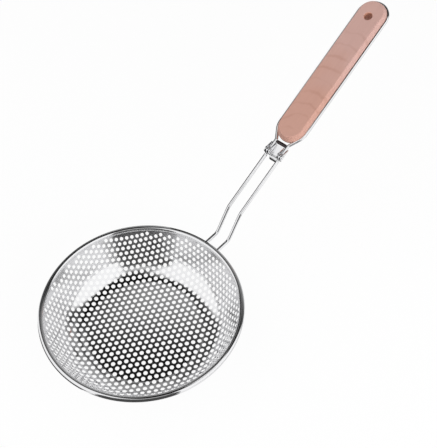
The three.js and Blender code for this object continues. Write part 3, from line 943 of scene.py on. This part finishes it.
def graded_glow(name):
    """The card overhead: darkest towards the viewer, and lighter to the far side."""
    material, nodes, links, glow = plain_glow(name)
    place = nodes.new("ShaderNodeTexCoord")
    turn = nodes.new("ShaderNodeMapping")
    turn.inputs["Rotation"].default_value = (0, 0, VIEW_TURN)
    links.new(place.outputs["Object"], turn.inputs["Vector"])
    apart = nodes.new("ShaderNodeSeparateXYZ")
    links.new(turn.outputs["Vector"], apart.inputs["Vector"])
    depth = nodes.new("ShaderNodeMapRange")
    depth.inputs["From Min"].default_value = 0.36
    depth.inputs["From Max"].default_value = 0.60
    links.new(apart.outputs["Y"], depth.inputs["Value"])
    shades = nodes.new("ShaderNodeValToRGB")
    stops = ((0.0, 0.006), (0.2, 0.006), (0.34, 0.014), (0.47, 0.055),
             (0.61, 0.25), (0.75, 0.38), (1.0, 0.38))
    for position, _ in stops[1:-1]:
        shades.color_ramp.elements.new(position)
    for element, (position, level) in zip(shades.color_ramp.elements, stops):
        element.position = position
        element.color = (level, level, level, 1)
    links.new(depth.outputs["Result"], shades.inputs["Fac"])
    links.new(shades.outputs["Color"], glow.inputs["Color"])
    return material


def mirrored_only(obj):
    """Only the metal shows it: it casts no shadow and lights nothing."""
    obj.visible_camera = False
    obj.visible_diffuse = False
    obj.visible_shadow = False
    obj.visible_transmission = False
    return obj


def card(name, places, material):
    """A card about the bowl, from corners given as azimuth, elevation and distance."""
    corners = [from_photo(*place) for place in places]
    mirrored_only(stage_mesh(name, corners, [tuple(range(len(corners)))], material))


def glow_by_point():
    """Emission as strong as each point's own value."""
    material, nodes, links, glow = plain_glow("mirrored_glow")
    value = nodes.new("ShaderNodeAttribute")
    value.attribute_name = "glow"
    links.new(value.outputs["Fac"], glow.inputs["Strength"])
    return material


def patch(name, azimuths, elevations, distance, level, feather=0):
    """A curved card between two azimuths and two elevations, which fades to DARK over feather degrees."""
    columns, rows = 48, 32
    points = []
    strengths = []
    faces = []
    for j in range(rows + 1):
        e = elevations[0] + (elevations[1] - elevations[0]) * j / rows
        for i in range(columns + 1):
            a = azimuths[0] + (azimuths[1] - azimuths[0]) * i / columns
            inside = min(a - azimuths[0], azimuths[1] - a, e - elevations[0], elevations[1] - e)
            share = eased(inside / feather) if feather else 1
            strengths.append(DARK + (level - DARK) * share)
            points.append(from_photo(a, e, distance))
    for j in range(rows):
        for i in range(columns):
            k = j * (columns + 1) + i
            faces.append((k, k + 1, k + columns + 2, k + columns + 1))
    obj = mirrored_only(stage_mesh(name, points, faces, glowing))
    obj.data.attributes.new("glow", "FLOAT", "POINT").data.foreach_set("value", strengths)


def glow_card(name, corners, level):
    """A flat card of one level, from corners in metres."""
    obj = mirrored_only(stage_mesh(name, corners, [tuple(range(len(corners)))], glowing))
    obj.data.attributes.new("glow", "FLOAT", "POINT").data.foreach_set("value", [level] * len(corners))


def flat_card(name, corners, level):
    """A card just over the floor."""
    glow_card(name, [(x, y, FLOOR_GAP) for x, y in corners], level)


def corners_about(near_distance, near_azimuths, far_distance, far_azimuths):
    """Corners on the floor at two distances from the bowl's axis."""
    near = [from_photo(azimuth, 0, near_distance).xy for azimuth in near_azimuths]
    return near + [from_photo(azimuth, 0, far_distance).xy for azimuth in far_azimuths]


def lamp(name, azimuth, elevation, distance, size, radiance):
    """A soft light that the metal doesn't show."""
    light = bpy.data.lights.new(name, "AREA")
    light.shape = "RECTANGLE"
    light.size, light.size_y = size
    light.energy = radiance * math.pi * size[0] * size[1]
    obj = bpy.data.objects.new(name, light)
    obj.location = from_photo(azimuth, elevation, distance)
    obj.rotation_euler = (-obj.location).to_track_quat("-Z", "Y").to_euler()
    obj.visible_camera = False
    obj.visible_glossy = False
    bpy.context.scene.collection.objects.link(obj)


glowing = glow_by_point()
floor()
patch("dome", (0, 360), (-1, 89.9), distance=2.4, level=DARK)
patch("backdrop_far", (30, 112), (-4, 46), distance=2.2, level=0.36, feather=8)
patch("box_left", (148, 250), (-6, 82), distance=1.8, level=1.06, feather=10)
patch("gap_near", (242, 300), (49, 71), distance=1.2, level=0.6, feather=7)
patch("gap_low", (238, 300), (20, 46), distance=1.7, level=1.06, feather=3)
patch("box_right", (290, 379), (-6, 71), distance=1.3, level=1.12, feather=8)
patch("card_near", (234, 300), (-8, 48), distance=0.45, level=0.07)

above_outline = [(-25, 64), (10, 60), (40, 55), (75, 52), (100, 52),
                 (118, 58), (125, 72), (180, 86), (250, 84), (300, 79)]
above_places = [(a, e, CARD_HEIGHT / math.sin(math.radians(e))) for a, e in above_outline]
card("card_above", above_places, graded_glow("card_above"))

left_corners = corners_about(0.084, (176, 190, 204, 218, 232), 0.6, (232, 204, 176))
near_corners = corners_about(0.10, (238, 252, 267, 282, 296), 0.5, (296, 267, 238))
far_left_corners = [(0.085, 0.012), (0.25, 0.012), (0.25, 0.60), (0.085, 0.60)]
right_corners = [(0.12, -0.105), (0.175, -0.165), (0.0, -0.45), (-0.09, -0.41)]
under_grip_corners = [(0.25, -0.30), (0.60, -0.30), (0.60, 0.50), (0.25, 0.50)]
flat_card("floor_card_left", left_corners, level=DARK)
flat_card("floor_card_near", near_corners, level=DARK)
flat_card("floor_card_far_left", far_left_corners, level=DARK)
flat_card("floor_card_right", right_corners, level=DARK)
flat_card("floor_card_under_grip", under_grip_corners, level=0.62)

side_corners = [(0.18, 0.16, 0), (0.42, 0.16, 0), (0.42, 0.16, 0.3), (0.18, 0.16, 0.3)]
shank_corners = [(0.085, 0.05, 0), (0.185, 0.05, 0), (0.185, 0.05, 0.12), (0.085, 0.05, 0.075)]
over_corners = [(0.027, -0.136, 0.3), (0.127, -0.136, 0.3), (0.127, -0.036, 0.3), (0.027, -0.036, 0.3)]
glow_card("card_beside_grip", side_corners, level=0.4)
glow_card("card_beside_shank", shank_corners, level=0.02)
glow_card("card_over_hinge", over_corners, level=1.15)
lamp("lamp_left", azimuth=195, elevation=45, distance=1.3, size=(2.0, 1.6), radiance=0.9)
lamp("lamp_right", azimuth=318, elevation=22, distance=1.3, size=(1.2, 0.9), radiance=3.4)

world = bpy.data.worlds.new("white_surroundings")
world.use_nodes = True
bpy.context.scene.world = world
nodes, links = world.node_tree.nodes, world.node_tree.links
level = nodes.new("ShaderNodeMapRange")
level.inputs["To Min"].default_value = FILL
level.inputs["To Max"].default_value = 1
links.new(seen_directly(nodes, links), level.inputs["Value"])
links.new(level.outputs["Result"], nodes["Background"].inputs["Strength"])
nodes["Background"].inputs["Color"].default_value = (1, 1, 1, 1)

view = bpy.context.scene.view_settings
view.view_transform = "Standard"
